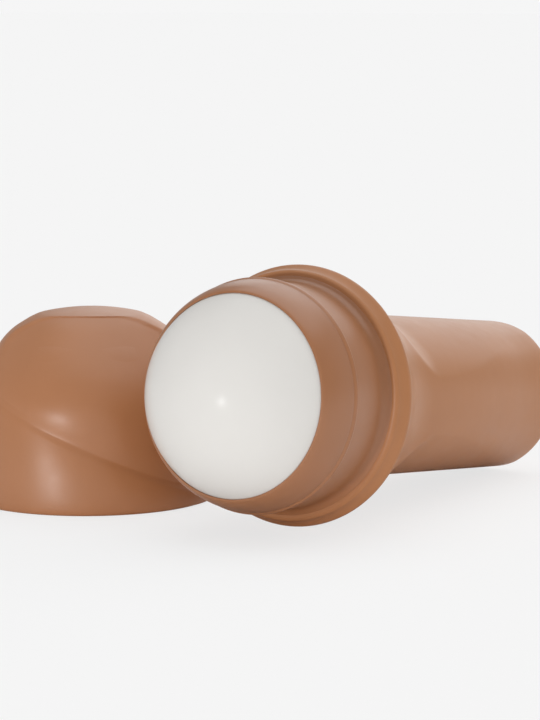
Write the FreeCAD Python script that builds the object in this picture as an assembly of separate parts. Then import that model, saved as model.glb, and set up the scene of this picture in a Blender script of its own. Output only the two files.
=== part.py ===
import FreeCAD, Part
import math
import os

# Roll-on bottle lying on its side, its pulled-off cap standing beside it; sizes in mm, angles in degrees.
# Bottle, ball housing and ball are drawn upright on the bottle's own axis, base at height 0, then laid down.

# Ball, and the play it has in the seat of its housing
ball_radius = 17.4
ball_play = 0.15
ball_rise = 12.5
seat_radius = ball_radius + ball_play

# Bottle body: a round, slightly tapering side with one broad shallow panel at the front and one at the back
base_radius = 13.7
base_rounding = 2.0
shoulder_inset = 0.7
shoulder_height = 51.0
side_height_shares = (0.122, 0.224, 0.304, 0.445, 0.604, 0.767, 0.898)
side_radius_shares = (0.02, 0.12, 0.255, 0.49, 0.739, 0.896, 0.97)
panel_half_depth = 13.55
panel_foot_half_depth = 13.2
panel_cross_radius = 17.6
panel_runout_radius = 22.0
panel_runout_angle = 29.0
bottle_wall = 1.3
base_wall = 1.5

# Flange at the top of the flare, wider than the ball, and the ledge the cap's rim stands on
flange_height = 68.7
flange_overhang = 3.6
lip_rounding = 0.6
lip_lower_angle = 33.0
lip_upper_angle = 20.0
ledge_rise = 2.7
ledge_inset = 0.85
ledge_rounding = 0.35
mouth_inset = 0.85
flange_radius = seat_radius + flange_overhang
ledge_radius = flange_radius - ledge_inset
mouth_radius = seat_radius - mouth_inset
shoulder_radius = mouth_radius - shoulder_inset

# Ball housing: a plug in the mouth, a neck that widens upwards, a bead the cap snaps over and a rounded lip
plug_play = 0.05
plug_clearance = 1.25
plug_wall = 1.2
cup_wall = 1.2
drain_radius = 6.0
neck_foot_wall = 0.45
neck_top_wall = 0.85
bead_wall = 1.13
bead_foot_rise = 12.1
bead_low_rise = 12.3
bead_high_rise = 12.9
lip_foot_wall = 0.9
lip_foot_rise = 13.1
lip_side_wall = 0.48
lip_side_rise = 17.5
lip_crown_wall = 0.11
lip_crown_angle = 40.0
lip_rise = 19.4

# Cap: a flattened dome as wide as the flange, and a thicker skirt round its foot that ends in a slanting edge
cap_height = 32.5
cap_wall = 1.2
rim_width = 1.15
skirt_depth = 0.75
dome_start = 12.0
dome_foot_shares = (1.006, 1.015, 1.012, 1.007)
dome_height_shares = (0.0, 0.098, 0.195, 0.293, 0.39, 0.488, 0.585, 0.683, 0.78, 0.829, 0.878, 0.917, 0.956, 1.02)
dome_radius_shares = (1.0, 0.993, 0.978, 0.956, 0.922, 0.88, 0.833, 0.777, 0.6985, 0.645, 0.576, 0.505, 0.43, 0.3)
facet_depth_shares = (2.0, 1.3, 1.06, 0.965, 0.907, 0.843, 0.77, 0.691, 0.603, 0.554, 0.503, 0.461, 0.421, 0.35)
facet_cross_shares = (0.9, 0.9, 0.88, 0.85, 0.81, 0.76, 0.735, 0.72, 0.75, 0.76, 0.71, 0.66, 0.61, 0.5)
crown_share = 1.85
facet_crease = 0.5
section_points = 72
skirt_belly_height = 5.5
skirt_foot_inset = 0.25
skirt_top_inset = 1.35
skirt_top_height = 20.8
skirt_edge_height = 10.9
skirt_edge_angle = 22.7
skirt_edge_rounding = 0.3
skirt_foot_rounding = 0.35
snap_height = 8.6
snap_depth = 0.9
snap_half_width = 0.8
dome_radius = flange_radius - skirt_depth
skirt_foot_radius = flange_radius - skirt_foot_inset
cap_bore = skirt_foot_radius - skirt_foot_rounding - rim_width

# Pose: the roll of the bottle about its axis, and where the cap stands from the flange's centre
bottle_roll = 3.0
cap_left = 43.97
cap_back = 5.13
cap_turn = 31.6

full_turn = 360.0
reach = 60.0
origin = FreeCAD.Vector(0, 0, 0)
x_axis = FreeCAD.Vector(1, 0, 0)
y_axis = FreeCAD.Vector(0, 1, 0)
z_axis = FreeCAD.Vector(0, 0, 1)


def at(radius, height):
    return FreeCAD.Vector(radius, 0, height)


def line(start, end):
    return Part.makeLine(start, end)


def lines(points):
    return [line(first, second) for first, second in zip(points, points[1:])]


def arc(start, middle, end):
    return Part.Arc(start, middle, end).toShape()


def on_circle(centre, radius, degrees):
    angle = math.radians(degrees)
    return at(centre.x + radius * math.cos(angle), centre.z + radius * math.sin(angle))


def arc_about(centre, radius, first, last):
    middle = (first + last) / 2
    ends = [on_circle(centre, radius, degrees) for degrees in (first, middle, last)]
    return arc(*ends)


def spline(points, first_tangent, last_tangent):
    curve = Part.BSplineCurve()
    curve.interpolate(Points=points, InitialTangent=first_tangent, FinalTangent=last_tangent)
    return curve.toShape()


def turned(edges):
    face = Part.Face(Part.Wire(edges))
    return face.revolve(origin, z_axis, full_turn)


# The profile of the bottle's side from the rounded base edge up to the shoulder, moved in by a wall
def side_curve(inset, foot):
    span = shoulder_height - foot
    swell = shoulder_radius - base_radius
    points = [at(base_radius - inset, foot)]
    for height_share, radius_share in zip(side_height_shares, side_radius_shares):
        points.append(at(base_radius + swell * radius_share - inset, foot + span * height_share))
    points.append(at(shoulder_radius - inset, shoulder_height))
    return spline(points, z_axis, z_axis)


lip_centre = at(flange_radius - lip_rounding, flange_height)
base_centre = at(base_radius - base_rounding, base_rounding)
lip_low = on_circle(lip_centre, lip_rounding, -lip_lower_angle)
flare_rise = lip_low.z - shoulder_height
flare_swell = lip_low.x - shoulder_radius
flare_radius = (flare_rise ** 2 + flare_swell ** 2) / (2 * flare_swell)
flare_centre = at(shoulder_radius + flare_radius, shoulder_height)
flare_angle = math.degrees(math.asin(flare_rise / flare_radius))
ledge_height = flange_height + ledge_rise


def bottle_outside():
    lip_high = on_circle(lip_centre, lip_rounding, lip_upper_angle)
    edge_low = at(ledge_radius, ledge_height - ledge_rounding)
    edge_high = at(ledge_radius - ledge_rounding, ledge_height)
    edges = [line(origin, at(base_centre.x, 0))]
    edges.append(arc_about(base_centre, base_rounding, -full_turn / 4, 0))
    edges.append(side_curve(0, base_rounding))
    edges.append(arc_about(flare_centre, flare_radius, full_turn / 2, full_turn / 2 - flare_angle))
    edges.append(arc_about(lip_centre, lip_rounding, -lip_lower_angle, lip_upper_angle))
    edges += lines([lip_high, edge_low, edge_high, at(0, ledge_height), origin])
    return turned(edges)


inner_flare = flare_radius + bottle_wall
bore_angle = math.degrees(math.acos((flare_centre.x - mouth_radius) / inner_flare))
bore_start = on_circle(flare_centre, inner_flare, full_turn / 2 - bore_angle)


# The reservoir: the bottle's side moved in by the wall, up to a straight mouth
def bottle_inside():
    over = at(mouth_radius, ledge_height + ledge_rise)
    foot = at(base_radius - bottle_wall - base_rounding, base_wall)
    foot_centre = at(foot.x, base_wall + base_rounding)
    edges = [line(at(0, base_wall), foot)]
    edges.append(arc_about(foot_centre, base_rounding, -full_turn / 4, 0))
    edges.append(side_curve(bottle_wall, foot_centre.z))
    edges.append(arc_about(flare_centre, inner_flare, full_turn / 2, full_turn / 2 - bore_angle))
    edges += lines([bore_start, over, at(0, over.z), at(0, base_wall)])
    return turned(edges)


# What a front or back panel leaves standing: a wide round bar set off the axis that runs out under the flange
def panel_bar(inset, side):
    offset = panel_cross_radius - panel_half_depth
    radius = panel_cross_radius - inset
    slope = math.radians(panel_runout_angle)
    wide = flange_radius + offset + lip_rounding - inset
    arc_end_radius = radius + panel_runout_radius * (1 - math.cos(slope))
    run_rise = (wide - arc_end_radius) / math.tan(slope)
    run_top = flange_height - lip_rounding
    start = run_top - run_rise - panel_runout_radius * math.sin(slope)
    centre = at(radius + panel_runout_radius, start)
    arc_end = at(arc_end_radius, run_top - run_rise)
    taper = (panel_half_depth - panel_foot_half_depth) / start
    edges = lines([at(0, -reach), at(radius - taper * (start + reach), -reach), at(radius, start)])
    edges.append(arc_about(centre, panel_runout_radius, full_turn / 2, full_turn / 2 - panel_runout_angle))
    edges += lines([arc_end, at(wide, run_top), at(wide, run_top + reach), at(0, run_top + reach), at(0, -reach)])
    bar = turned(edges)
    bar.translate(y_axis * (-side * offset))
    return bar


def with_panels(body, inset):
    return body.common(panel_bar(inset, 1)).common(panel_bar(inset, -1))


def make_bottle():
    return with_panels(bottle_outside(), 0).cut(with_panels(bottle_inside(), bottle_wall))


ball_height = flange_height + ball_rise


def make_ball():
    return Part.makeSphere(ball_radius, at(0, ball_height))


# Point of a sphere about the ball's centre at a given radius, above or below the centre
def on_sphere(sphere_radius, radius, side):
    return at(radius, ball_height + side * math.sqrt(sphere_radius ** 2 - radius ** 2))


def degrees_of(point):
    return math.degrees(math.atan2(point.z - ball_height, point.x))


# Point of the seat's sphere at a given rise above the flange
def on_seat(rise):
    return at(math.sqrt(seat_radius ** 2 - (rise - ball_rise) ** 2), flange_height + rise)


def make_housing():
    cup = seat_radius + cup_wall
    plug_radius = mouth_radius - plug_play
    plug_foot = bore_start.z + plug_clearance
    seat_drain = on_sphere(seat_radius, drain_radius, -1)
    cup_drain = on_sphere(cup, drain_radius, -1)
    web = on_sphere(cup, plug_radius - plug_wall, -1)
    rim = on_seat(lip_rise)
    crown = rim + x_axis * lip_crown_wall
    side = on_seat(lip_side_rise) + x_axis * lip_side_wall
    foot = at(seat_radius + lip_foot_wall, flange_height + lip_foot_rise)
    edges = [arc(seat_drain, at(seat_radius, ball_height), rim), line(rim, crown)]
    edges.append(spline([crown, side], on_circle(origin, 1, -lip_crown_angle), foot - side))
    edges += lines([
        side,
        foot,
        at(seat_radius + bead_wall, flange_height + bead_high_rise),
        at(seat_radius + bead_wall, flange_height + bead_low_rise),
        at(seat_radius + neck_top_wall, flange_height + bead_foot_rise),
        at(seat_radius + neck_foot_wall, ledge_height),
        at(plug_radius, ledge_height),
        at(plug_radius, plug_foot),
        at(plug_radius - plug_wall, plug_foot),
        web,
    ])
    edges.append(arc_about(at(0, ball_height), cup, degrees_of(web), degrees_of(cup_drain)))
    edges.append(line(cup_drain, seat_drain))
    return turned(edges)


# The lesser of two radii, eased into each other where they are nearly equal
def eased(first, second):
    near = max(facet_crease - abs(first - second), 0) / facet_crease
    return min(first, second) - facet_crease * near ** 2 / 4


# One level section of the cap: a circle whose front and back are drawn in to broad curved facets
def section(height, radius, depth, cross):
    points = []
    for step in range(section_points):
        angle = 2 * math.pi * step / section_points
        across = math.sin(angle)
        along = abs(math.cos(angle))
        facet = 2 * depth / (along + math.sqrt(along ** 2 + 2 * across ** 2 * depth / cross))
        reached = eased(radius, facet)
        points.append(FreeCAD.Vector(reached * across, reached * math.cos(angle), height))
    curve = Part.BSplineCurve()
    curve.interpolate(Points=points, PeriodicFlag=True)
    return Part.Wire(curve.toShape())


# The cap's dome on a foot of given level circles, closed by a flat round crown
def dome(radius, rise, foot):
    sections = [section(height, foot_radius, 2 * foot_radius, foot_radius) for height, foot_radius in foot]
    shares = zip(dome_height_shares, dome_radius_shares, facet_depth_shares, facet_cross_shares)
    for height_share, radius_share, depth_share, cross_share in shares:
        height = dome_start + rise * height_share
        sections.append(section(height, radius * radius_share, radius * depth_share, radius * cross_share))
    crown_radius = radius * crown_share
    crown = Part.makeSphere(crown_radius, FreeCAD.Vector(0, 0, dome_start + rise - crown_radius))
    return Part.makeLoft(sections, True).common(crown)


# The skirt: a slightly barrelled band round the cap's foot, cut off by a slanting plane with a rounded edge
def skirt():
    foot = at(skirt_foot_radius, skirt_foot_rounding)
    belly = at(flange_radius, skirt_belly_height)
    top = at(flange_radius - skirt_top_inset, skirt_top_height)
    edges = [arc(foot, belly, top)]
    edges += lines([top, at(0, skirt_top_height), origin, at(foot.x - skirt_foot_rounding, 0), foot])
    band = turned(edges)
    above = Part.makeBox(2 * reach, 2 * reach, reach, FreeCAD.Vector(-reach, -reach, 0))
    above.rotate(origin, y_axis, skirt_edge_angle)
    above.translate(z_axis * skirt_edge_height)
    band = band.cut(above)
    slope = FreeCAD.Vector(math.sin(math.radians(skirt_edge_angle)), 0, math.cos(math.radians(skirt_edge_angle)))
    slant = [face for face in band.Faces if (face.normalAt(0, 0) - slope).Length < skirt_edge_rounding]
    return band.makeFillet(skirt_edge_rounding, slant[0].Edges)


# A half-round bead inside the cap that snaps in below the bead of the housing
def snap_bead():
    low = at(cap_bore, snap_height - snap_half_width)
    high = at(cap_bore, snap_height + snap_half_width)
    outer = cap_bore + plug_play
    back = [at(outer, high.z), at(outer, low.z), low]
    return turned([arc(low, at(cap_bore - snap_depth, snap_height), high)] + lines([high] + back))


def make_cap():
    rise = cap_height - dome_start
    levels = [dome_start * step / len(dome_foot_shares) for step in range(len(dome_foot_shares))]
    outer_foot = [(height, dome_radius * share) for height, share in zip(levels, dome_foot_shares)]
    inner_foot = [(-cap_wall, cap_bore)] + [(height, cap_bore) for height in levels]
    shell = dome(dome_radius, rise, outer_foot).fuse(skirt())
    hollow = dome(dome_radius - cap_wall, rise - cap_wall, inner_foot)
    return shell.cut(hollow).fuse(snap_bead()).removeSplitter()


# Lay the bottle down: flange lip and base edge both touch the floor
lip_over_base = lip_centre - base_centre
tilt = math.degrees(math.atan2(lip_over_base.x, lip_over_base.z))
tilt += math.degrees(math.asin((lip_rounding - base_rounding) / lip_over_base.Length))
tilt_sine = math.sin(math.radians(tilt))
tilt_cosine = math.cos(math.radians(tilt))
floor_lift = lip_rounding + lip_centre.x * tilt_cosine - lip_centre.z * tilt_sine
front_end = ball_height * tilt_cosine + ball_radius
back_end = base_centre.x * tilt_sine + base_rounding - base_centre.z * tilt_cosine
bottle_x = cap_left / 2
bottle_y = (front_end - back_end) / 2
cap_x = bottle_x - cap_left
cap_y = bottle_y - flange_height * tilt_cosine + cap_back


def laid(shape):
    shape.rotate(origin, z_axis, -bottle_roll)
    shape.rotate(origin, x_axis, full_turn / 4 - tilt)
    shape.translate(FreeCAD.Vector(bottle_x, bottle_y, floor_lift))
    return shape


def stood(shape):
    shape.rotate(origin, z_axis, cap_turn)
    shape.translate(FreeCAD.Vector(cap_x, cap_y, 0))
    return shape


parts = {
    "bottle": laid(make_bottle()),
    "ball_housing": laid(make_housing()),
    "roller_ball": laid(make_ball()),
    "cap": stood(make_cap()),
}
os.makedirs("parts", exist_ok=True)
for name, shape in parts.items():
    shape.exportStep("parts/" + name + ".step")
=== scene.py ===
import math

import bpy
import numpy as np
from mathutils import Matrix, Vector


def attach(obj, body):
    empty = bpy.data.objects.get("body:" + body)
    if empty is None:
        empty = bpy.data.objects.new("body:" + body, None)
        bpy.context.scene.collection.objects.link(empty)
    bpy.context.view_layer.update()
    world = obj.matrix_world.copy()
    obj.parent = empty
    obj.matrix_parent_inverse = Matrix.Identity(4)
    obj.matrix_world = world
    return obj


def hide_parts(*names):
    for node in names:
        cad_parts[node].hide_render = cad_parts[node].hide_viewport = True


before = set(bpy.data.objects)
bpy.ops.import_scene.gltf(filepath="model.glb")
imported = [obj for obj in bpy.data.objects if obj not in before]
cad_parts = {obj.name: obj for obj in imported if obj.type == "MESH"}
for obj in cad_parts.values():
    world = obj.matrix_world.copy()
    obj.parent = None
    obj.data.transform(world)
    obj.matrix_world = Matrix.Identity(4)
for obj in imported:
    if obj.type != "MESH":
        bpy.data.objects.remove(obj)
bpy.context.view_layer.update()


# Bottle: a moulded brown plastic container, drawn upright and then laid down on its flange and base edge.
# Its round side tapers to the base, has a shallow panel at front and back and flares out to a wide flange,
# on which a lower ledge stands; the wall is thin and the mouth is open for the ball's fitment.
mm = 0.001
tiny = 1e-9
bottle_wall = 1.3
mouth_radius = 16.7
flare_centre = (48.4, 51.0)
flare_radius = 32.4
turn_steps = 256
crease_angle = 32


def arc_points(centre, radius, first, last, count):
    angles = np.radians(np.linspace(first, last, count))
    return [(centre[0] + radius * math.cos(a), centre[1] + radius * math.sin(a)) for a in angles]


# A smooth curve through the given values, read at the wanted places.
def smooth_through(places, values, wanted):
    places = np.asarray(places, float)
    values = np.asarray(values, float)
    wanted = np.clip(wanted, places[0], places[-1])
    slopes = np.gradient(values, places)
    low = np.clip(np.searchsorted(places, wanted) - 1, 0, len(places) - 2)
    step = places[low + 1] - places[low]
    t = (wanted - places[low]) / step
    start = (2 * t**3 - 3 * t**2 + 1) * values[low] + (t**3 - 2 * t**2 + t) * step * slopes[low]
    return start + (3 * t**2 - 2 * t**3) * values[low + 1] + (t**3 - t**2) * step * slopes[low + 1]


# The lesser of two lengths, with the corner between them rounded off over the ease.
def lesser(first, second, ease):
    near = np.maximum(ease - np.abs(first - second), 0) / ease
    return np.minimum(first, second) - ease * near**2 / 4


def turn_profile(name, profile, steps):
    bpy.ops.object.select_all(action="DESELECT")
    bpy.ops.mesh.primitive_plane_add(size=mm)
    piece = bpy.context.object
    piece.name = name
    bpy.ops.object.mode_set(mode="EDIT")
    bpy.ops.mesh.select_all(action="SELECT")
    bpy.ops.mesh.merge(type="CENTER")
    bpy.ops.transform.translate(value=(profile[0][0] * mm, 0, profile[0][1] * mm))
    for before, after in zip(profile, profile[1:]):
        move = ((after[0] - before[0]) * mm, 0, (after[1] - before[1]) * mm)
        bpy.ops.mesh.extrude_region_move(TRANSFORM_OT_translate={"value": move})
    bpy.ops.mesh.select_all(action="SELECT")
    bpy.ops.mesh.spin(steps=steps, angle=2 * math.pi, center=(0, 0, 0), axis=(0, 0, 1))
    bpy.ops.mesh.select_all(action="SELECT")
    bpy.ops.mesh.remove_doubles(threshold=1e-6)
    bpy.ops.mesh.normals_make_consistent(inside=False)
    bpy.ops.object.mode_set(mode="OBJECT")
    return piece


def points_of(piece):
    spots = np.empty(len(piece.data.vertices) * 3)
    piece.data.vertices.foreach_get("co", spots)
    return spots.reshape(-1, 3) / mm


def set_points(piece, spots):
    piece.data.vertices.foreach_set("co", (spots * mm).ravel())
    piece.data.update()


def smooth(piece, degrees):
    bpy.ops.object.select_all(action="DESELECT")
    piece.select_set(True)
    bpy.context.view_layer.objects.active = piece
    bpy.ops.object.shade_smooth_by_angle(angle=math.radians(degrees))


def put(piece, place, turn):
    bpy.ops.object.select_all(action="DESELECT")
    piece.select_set(True)
    bpy.context.view_layer.objects.active = piece
    piece.rotation_mode = "ZYX"
    piece.rotation_euler = [math.radians(angle) for angle in turn]
    piece.location = [length * mm for length in place]
    bpy.ops.object.transform_apply(location=True, rotation=True, scale=True)
    piece.rotation_mode = "XYZ"


# Satin plastic: faint clouds of colour, a sheen that varies a little, and fine pores.
def moulded_plastic(name, pale, deep, roughness, grain, gloss):
    sheen_swing = 0.05
    pore_depth = 0.05 * mm
    plastic = bpy.data.materials.new(name)
    plastic.use_nodes = True
    nodes, links = plastic.node_tree.nodes, plastic.node_tree.links
    shader = nodes["Principled BSDF"]
    place = nodes.new("ShaderNodeTexCoord")
    clouds = nodes.new("ShaderNodeTexNoise")
    clouds.inputs["Scale"].default_value = 70
    clouds.inputs["Detail"].default_value = 4
    tint = nodes.new("ShaderNodeValToRGB")
    tint.color_ramp.interpolation = "EASE"
    tint.color_ramp.elements[0].position = 0.15
    tint.color_ramp.elements[0].color = (*deep, 1)
    tint.color_ramp.elements[1].position = 0.85
    tint.color_ramp.elements[1].color = (*pale, 1)
    patches = nodes.new("ShaderNodeTexNoise")
    patches.inputs["Scale"].default_value = 400
    patches.inputs["Detail"].default_value = 3
    sheen = nodes.new("ShaderNodeMapRange")
    sheen.inputs["To Min"].default_value = roughness - sheen_swing
    sheen.inputs["To Max"].default_value = roughness + sheen_swing
    pores = nodes.new("ShaderNodeTexNoise")
    pores.inputs["Scale"].default_value = 2200
    pores.inputs["Detail"].default_value = 2
    relief = nodes.new("ShaderNodeBump")
    relief.inputs["Strength"].default_value = grain
    relief.inputs["Distance"].default_value = pore_depth
    for texture in (clouds, patches, pores):
        links.new(place.outputs["Object"], texture.inputs["Vector"])
    links.new(clouds.outputs["Fac"], tint.inputs["Fac"])
    links.new(tint.outputs["Color"], shader.inputs["Base Color"])
    links.new(patches.outputs["Fac"], sheen.inputs["Value"])
    links.new(sheen.outputs["Result"], shader.inputs["Roughness"])
    links.new(pores.outputs["Fac"], relief.inputs["Height"])
    links.new(relief.outputs["Normal"], shader.inputs["Normal"])
    shader.inputs["IOR"].default_value = 1.58
    shader.inputs["Specular IOR Level"].default_value = gloss
    return plastic


side_foot, side_length = 2, 49
foot_radius, side_widening = 13.7, 2.3
side_heights = side_foot + side_length * np.array((0, 0.122, 0.224, 0.304, 0.445, 0.604, 0.767, 0.898, 1))
side_radii = foot_radius + side_widening * np.array((0, 0.02, 0.12, 0.255, 0.49, 0.739, 0.896, 0.97, 1))
outer_levels = np.linspace(2.6, 50.4, 60)
outer_side = list(zip(smooth_through(side_heights, side_radii, outer_levels), outer_levels))
inner_levels = np.linspace(49, 4, 30)
inner_side = list(zip(smooth_through(side_heights, side_radii, inner_levels) - bottle_wall, inner_levels))

# The outline runs from the base up the outside, over flange and ledge, and down the inside.
bottle_profile = [(0, 0), (5, 0), (9, 0), (11.2, 0)]
bottle_profile += arc_points((11.7, 2), 2, -90, 0, 9)
bottle_profile += outer_side
bottle_profile += arc_points(flare_centre, flare_radius, 180, 180 - 31.9, 28)
bottle_profile += arc_points((20.15, 68.7), 1.0, -32, 38, 12)
bottle_profile += [(20.74, 69.6), (20.52, 70.0), (20.34, 70.4)]
bottle_profile += arc_points((19.5, 70.65), 0.75, 8, 90, 10)
bottle_profile += [(18.9, 71.4), (17.6, 71.4), (16.9, 71.4)]
bottle_profile += [(mouth_radius, 71.2), (mouth_radius, 68), (mouth_radius, 62.44)]
bottle_profile += arc_points(flare_centre, flare_radius + bottle_wall, 180 - 19, 180, 10)
bottle_profile += inner_side
bottle_profile += arc_points((10.4, 3.5), 2, 0, -90, 7) + [(6, 1.5), (0, 1.5)]
bottle = turn_profile("bottle_shell", bottle_profile, turn_steps)

# The panels are bars of a wider circle, set back from the axis, that run out towards the flange.
panel_radius, panel_offset, panel_taper = 17.6, 4.05, 0.35
panel_start, panel_end, panel_ease = 47.6, 68, 0.08
runout_radius, runout_slope = 22.0, math.radians(29)
base_core = 8
spots = points_of(bottle)
radius = np.hypot(spots[:, 0], spots[:, 1])
height = spots[:, 2]
above_side = height - flare_centre[1]
side_at = np.where(above_side < 0, smooth_through(side_heights, side_radii, height),
                   flare_centre[0] - np.sqrt(np.maximum(flare_radius**2 - above_side**2, 0)))
outside = radius > side_at - bottle_wall / 2
across = spots[:, 0] / np.maximum(radius, tiny)
toward = np.abs(spots[:, 1]) / np.maximum(radius, tiny)
panel_bar = panel_radius - panel_taper * np.maximum(panel_start - height, 0) / panel_start
rise = np.maximum(height - panel_start, 0)
arc_rise = np.minimum(rise, runout_radius * math.sin(runout_slope))
panel_bar += runout_radius - np.sqrt(runout_radius**2 - arc_rise**2)
panel_bar += (rise - arc_rise) * math.tan(runout_slope)
panel_limit = np.sqrt(np.maximum(panel_bar**2 - (panel_offset * across)**2, 0)) - panel_offset * toward
panel_limit -= np.where(outside, 0, bottle_wall)
panelled = (height < panel_end) & (radius > base_core)
flat = np.where(panelled, lesser(radius, panel_limit, panel_ease), radius)
spots[:, :2] *= (flat / np.maximum(radius, tiny))[:, None]
set_points(bottle, spots)
smooth(bottle, crease_angle)

bottle_tilt = 6.3658
bottle_place = (21.985, 48.395, 13.406)
bottle_turn = (90 - bottle_tilt, 0, -3)
put(bottle, bottle_place, bottle_turn)
bottle.data.materials.append(moulded_plastic(
    "satin_brown_bottle", pale=(0.405, 0.181, 0.082), deep=(0.375, 0.163, 0.07),
    roughness=0.34, grain=0.08, gloss=0.16))
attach(bottle, "bottle_body")
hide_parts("bottle")


# Ball housing: the brown moulded fitment that is pressed into the bottle's mouth and holds the ball.
# Seen from outside it is a neck on the ledge, a thin bead that the cap snaps over, and a tapering lip
# rolled in over the ball; a cup with a drain hole stands behind the ball.
seat_centre, seat_radius, cup_radius = (0, 81.2), 17.55, 18.75
plug_radius, plug_bore = 16.65, 15.45
lip_rim = [(16.41, 87.28), (16.22, 87.66), (16.06, 87.98), (16.08, 88.09), (16.2, 88.14), (16.36, 88.08)]
lip_rim += [(16.56, 87.88), (16.8, 87.54), (17.05, 87.1), (17.28, 86.6)]
lip_side = [(17.48, 86.1), (17.76, 85.25), (18.02, 84.3), (18.24, 83.3), (18.38, 82.5), (18.42, 82.15)]
snap_bead = [(18.42, 82.0), (18.46, 81.9), (18.58, 81.78), (18.68, 81.66), (18.73, 81.5), (18.73, 81.3)]
snap_bead += [(18.68, 81.12), (18.58, 81.0), (18.46, 80.9), (18.4, 80.76), (18.37, 80.5)]
neck = [(18.3, 78), (18.2, 75.6), (18.14, 74.0), (18.14, 73.3), (18.2, 72.75), (18.34, 72.25)]
neck += [(18.58, 71.84), (18.88, 71.58), (19.2, 71.45), (19.24, 71.41), (17.6, 71.41), (16.9, 71.41)]
plug = [(plug_radius, 71.3), (plug_radius, 68), (plug_radius, 63.9), (16.5, 63.7)]
plug += [(15.6, 63.7), (plug_bore, 63.9), (plug_bore, 70.58)]

housing_profile = arc_points(seat_centre, seat_radius, -70, 19, 56)
housing_profile += lip_rim + lip_side + snap_bead + neck + plug
housing_profile += arc_points(seat_centre, cup_radius, -34.5, -71.3, 24)
housing_profile += [(6.0, 64.2), housing_profile[0]]
housing = turn_profile("ball_collar", housing_profile, turn_steps)
smooth(housing, crease_angle)
put(housing, bottle_place, bottle_turn)
# The collar's brown is the bottle's brown made darker: painted shade that stands in for the dimness of its lip
# and neck.
housing.data.materials.append(moulded_plastic(
    "shade_darkened_brown_collar", pale=(0.33, 0.135, 0.056), deep=(0.303, 0.122, 0.047),
    roughness=0.34, grain=0.08, gloss=0.55))
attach(housing, "bottle_body")
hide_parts("ball_housing")


# Ball: a smooth satin white plastic ball that turns freely in its seat and carries the liquid outwards.
# It is moulded in one piece, so its skin is even, with only a faint cloudiness in the white.
ball_radius = 17.4
ball_cuts = 47
ball_crease = 60
bpy.ops.object.select_all(action="DESELECT")
bpy.ops.mesh.primitive_cube_add(size=ball_radius * mm)
ball = bpy.context.object
ball.name = "rolling_ball"
bpy.ops.object.mode_set(mode="EDIT")
bpy.ops.mesh.select_all(action="SELECT")
bpy.ops.mesh.subdivide(number_cuts=ball_cuts)
bpy.ops.transform.tosphere(value=1)
bpy.ops.object.mode_set(mode="OBJECT")
spots = points_of(ball)
spots *= (ball_radius / np.linalg.norm(spots, axis=1))[:, None]
spots[:, 2] += seat_centre[1]
set_points(ball, spots)
smooth(ball, ball_crease)
put(ball, bottle_place, bottle_turn)
ball.data.materials.append(moulded_plastic(
    "satin_white_ball", pale=(0.705, 0.688, 0.66), deep=(0.688, 0.67, 0.642),
    roughness=0.22, grain=0.02, gloss=0.045))
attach(ball, "ball")
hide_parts("roller_ball")


# Cap: a loose moulded shell that snaps over the collar, standing on its rim beside the bottle.
# Its dome is pressed in to a broad facet at front and back, and a fuller skirt round its foot ends
# in a soft edge that climbs from one side to the other; inside runs a small snap bead.
cap_height, crown_bow = 32.5, 75.6
dome_heights = (0, 12, 14, 16, 18, 20, 23, 25.7, 28, 29, 30, 31, 31.5, 32, 32.4, cap_height)
dome_radii = (20.5, 19.75, 19.72, 19.6, 19.35, 18.85, 17.6, 16.0, 14.25, 13.15, 11.65, 9.9, 8.7, 6.5, 3.0, 0)
skirt_top, dome_start, crown_start = 12, 28, 31.45

inner_dome = [(0, 31.3), (1.5, 31.28), (3.2, 31.2), (5.2, 31.0), (7.0, 30.6), (8.6, 29.95), (10.2, 29.1)]
inner_dome += [(11.8, 28.0), (13.2, 26.8), (14.6, 25.2), (15.9, 23.4), (16.9, 21.4), (17.6, 19.2)]
inner_dome += [(18.15, 16.8), (18.55, 14.2), (18.8, 12.4), (18.86, 11.2), (18.86, 9.5)]
inner_bead = [(18.8, 9.25), (18.7, 8.95), (18.5, 8.6), (18.7, 8.25), (19.1, 7.95), (19.38, 7.7)]
bore = [(19.4, 6), (19.4, 3), (19.4, 0.3), (19.55, 0.05), (19.8, 0)]
foot = [(20.5, 0), (20.62, 0.03), (20.75, 0.1), (20.84, 0.2), (20.89, 0.32)]
outer_levels = np.concatenate((np.linspace(0.6, 9.0, 24), np.linspace(9.25, 12.5, 27),
                               np.linspace(12.75, 29, 70), np.linspace(29.12, 31.44, 22)))
bare_radii = smooth_through(dome_heights, dome_radii, outer_levels)
bare_radii = np.where(outer_levels <= skirt_top, 20.9, np.where(outer_levels <= dome_start, 20.0, bare_radii))
crown = [(reach, cap_height - reach**2 / crown_bow) for reach in np.linspace(8.6, 0, 44)]
cap_profile = inner_dome + inner_bead + bore + foot + list(zip(bare_radii, outer_levels)) + crown
cap = turn_profile("cap_shell", cap_profile, 288)

spots = points_of(cap)
radius = np.hypot(spots[:, 0], spots[:, 1])
level = spots[:, 2].copy()
across = spots[:, 0] / np.maximum(radius, tiny)
toward = np.abs(spots[:, 1]) / np.maximum(radius, tiny)
below_dome = level <= dome_start
on_skirt = (radius > 19.7) & (level > 0.34) & below_dome
on_dome = (radius > smooth_through(dome_heights, dome_radii, level) - 0.4) & ~below_dome
outside = on_skirt | on_dome | (level > crown_start)

# The rows of points are slanted along the skirt's edge and level out again below and above it.
edge_height, edge_climb = 10.9, 0.418 * 20.7
slant_low, slant_high, slant_end = 9.9, 11.9, 26
follow = np.clip((slant_end - level) / (slant_end - slant_high), 0, 1)
follow = np.where(level <= slant_high, 1, follow)
follow = np.where(level < slant_low, level / slant_low, follow)
height = level - edge_climb * across * follow
edge_at = edge_height - edge_climb * across
above_edge = level - edge_height

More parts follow.
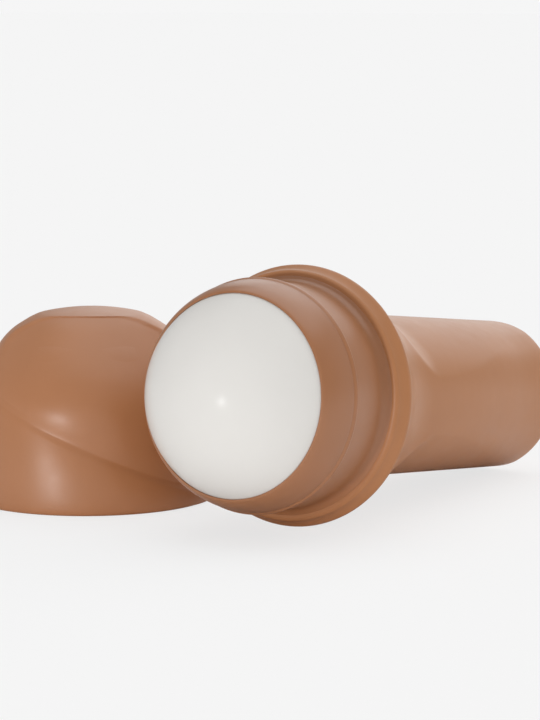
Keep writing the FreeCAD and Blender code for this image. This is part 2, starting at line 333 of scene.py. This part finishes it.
# Each facet leans inwards and bows; its upper edge is crisp and slightly sunk, and fades downwards.
facet_foot, facet_reach, facet_lean, facet_bow = 18, 19.6, 0.5, 0.0224
facet_width, width_lean, width_bow = 15.6, 0.27, 0.016
top_bend_from, top_bend = 28.5, 0.025
crisp_from, crisp_over = 20, 11
sunk_width, sunk_depth = 0.6, 0.35
soft_ease, ease_loss = 1.2, 1.05
bare_dome = np.where(level > crown_start, radius, smooth_through(dome_heights, dome_radii, height))
climb = height - facet_foot
depth = facet_reach - facet_lean * climb - facet_bow * climb**2
depth += facet_lean * np.maximum(14 - height, 0)
depth -= top_bend * np.maximum(height - top_bend_from, 0)**3
cross = facet_width - width_lean * climb - width_bow * climb**2
facet = 2 * depth / np.maximum(toward + np.sqrt(toward**2 + 2 * across**2 * depth / cross), tiny)
upper = np.clip((height - crisp_from) / crisp_over, 0, 1)
upper = upper**3 * (6 * upper**2 - 15 * upper + 10)
sunk = np.clip((bare_dome - facet) / sunk_width, 0, 1)
sunk = sunk_depth * sunk**2 * (3 - 2 * sunk) * upper
dome = lesser(bare_dome, facet - sunk, soft_ease - ease_loss * upper)

# The skirt swells like a pillow below its edge, and the dome has a soft hollow above it.
skirt_radius, skirt_crest, foot_draw = 21.12, 0.2, 0.2
edge_step, hollow_height, edge_blend = 0.18, 4.5, 1.2
hollow = np.clip(1 - np.maximum(height - edge_at, 0) / hollow_height, 0, 1)
dome -= (0.3 - 0.1 * across) * hollow**2
edge_radius = smooth_through(dome_heights, dome_radii, edge_at) - edge_step
share = np.clip(height / edge_at, 0, 1)
skirt = skirt_radius - (skirt_radius - edge_radius) * np.clip((share - skirt_crest) / (1 - skirt_crest), 0, 1)**2
skirt -= foot_draw * np.clip(1 - share / skirt_crest, 0, 1)**2
ease = np.clip((edge_blend - above_edge) / (2 * edge_blend), 0, 1)
ease = ease**2 * (3 - 2 * ease)
full = dome + (np.maximum(skirt, dome) - dome) * ease
spots[:, 2] = np.where(outside & below_dome, height, level)
spots[:, :2] *= np.where(outside, full / np.maximum(radius, tiny), 1)[:, None]
set_points(cap, spots)
cap_crease = 40
smooth(cap, cap_crease)
cap_place, cap_turn = (-21.985, -14.7515, 0), (0, 0, 31.6)
put(cap, cap_place, cap_turn)
cap.data.materials.append(moulded_plastic(
    "satin_brown_cap", pale=(0.4, 0.168, 0.072), deep=(0.37, 0.152, 0.061),
    roughness=0.41, grain=0.08, gloss=0.5))
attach(cap, "cap")
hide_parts("cap")


# Floor: a wide pale sheet under bottle and cap. The camera sees it as an even white that keeps
# a soft shadow; to the light it is a plain matt sheet that brightens the undersides.
floor_size = 80
bpy.ops.object.select_all(action="DESELECT")
bpy.ops.mesh.primitive_plane_add(size=floor_size)
floor = bpy.context.object
floor.name = "pale_floor"
bpy.ops.object.mode_set(mode="EDIT")
bpy.ops.mesh.subdivide(number_cuts=7)
bpy.ops.object.mode_set(mode="OBJECT")
sheet = bpy.data.materials.new("pale_sheet")
sheet.use_nodes = True
nodes, links = sheet.node_tree.nodes, sheet.node_tree.links
nodes.remove(nodes["Principled BSDF"])
shaded = nodes.new("ShaderNodeBsdfDiffuse")
shaded.inputs["Color"].default_value = (0.95, 0.95, 0.95, 1)
glow = nodes.new("ShaderNodeEmission")
glow.inputs["Color"].default_value = (0.917, 0.917, 0.917, 1)
seen = nodes.new("ShaderNodeMixShader")
seen.inputs["Fac"].default_value = 0.8
links.new(shaded.outputs["BSDF"], seen.inputs[1])
links.new(glow.outputs["Emission"], seen.inputs[2])
felt = nodes.new("ShaderNodeBsdfDiffuse")
felt.inputs["Color"].default_value = (0.97, 0.97, 0.97, 1)
path = nodes.new("ShaderNodeLightPath")
choice = nodes.new("ShaderNodeMixShader")
links.new(path.outputs["Is Camera Ray"], choice.inputs["Fac"])
links.new(felt.outputs["BSDF"], choice.inputs[1])
links.new(seen.outputs["Shader"], choice.inputs[2])
links.new(choice.outputs["Shader"], nodes["Material Output"].inputs["Surface"])
floor.data.materials.append(sheet)


# Light: an even white surround, broad soft lamps above, behind, beside and in front, and a small low lamp
# before the ball, which gives the small highlight on the ball and the two blurred ones on the cap.
world = bpy.data.worlds.new("white_surround")
bpy.context.scene.world = world
world.use_nodes = True
nodes, links = world.node_tree.nodes, world.node_tree.links
light = nodes["Background"]
light.inputs["Color"].default_value = (1, 1, 1, 1)
light.inputs["Strength"].default_value = 0.40
shown = nodes.new("ShaderNodeBackground")
shown.inputs["Color"].default_value = (0.92, 0.92, 0.92, 1)
path = nodes.new("ShaderNodeLightPath")
choice = nodes.new("ShaderNodeMixShader")
links.new(path.outputs["Is Camera Ray"], choice.inputs["Fac"])
links.new(light.outputs["Background"], choice.inputs[1])
links.new(shown.outputs["Background"], choice.inputs[2])
links.new(choice.outputs["Shader"], nodes["World Output"].inputs["Surface"])


def soft_sun(name, towards, energy, spread, glossy, shadow):
    bpy.ops.object.light_add(type="SUN", location=towards)
    sun = bpy.context.object
    sun.name = name
    sun.rotation_euler = Vector(towards).to_track_quat("Z", "Y").to_euler()
    sun.data.energy = energy
    sun.data.angle = math.radians(spread)
    sun.data.use_shadow = shadow
    sun.visible_glossy = glossy


soft_sun("overhead_light", (0.0, 0.25, 1), energy=1.2, spread=70, glossy=True, shadow=True)
soft_sun("back_light", (-0.25, 0.88, 0.4), energy=0.48, spread=46, glossy=True, shadow=True)
soft_sun("side_light", (0.5, 1, 0.15), energy=1.6, spread=50, glossy=False, shadow=True)
soft_sun("front_fill", (0.6, -0.8, 0.05), energy=0.6, spread=40, glossy=False, shadow=False)
bpy.ops.object.light_add(type="AREA", location=(-0.03, -1.25, 0.04), rotation=(math.radians(90), 0, 0))
front = bpy.context.object
front.name = "front_light"
front.data.shape = "DISK"
front.data.size = 0.06
front.data.energy = 4.7


# Camera: a little above the ball and to its right, with a long lens, looking past the ball
# to the cap on the left, so that the bottle runs away to the right.
camera_place = (0.25424, -0.40534, 0.0830)
camera_turn = (math.radians(82.88), 0, math.radians(31.6))
bpy.ops.object.camera_add(location=camera_place, rotation=camera_turn)
camera = bpy.context.object
camera.name = "photo_camera"
camera.data.lens = 140.75
camera.data.sensor_width = 36
camera.data.clip_start = 0.01
bpy.context.scene.camera = camera
bpy.context.scene.view_settings.view_transform = "Standard"
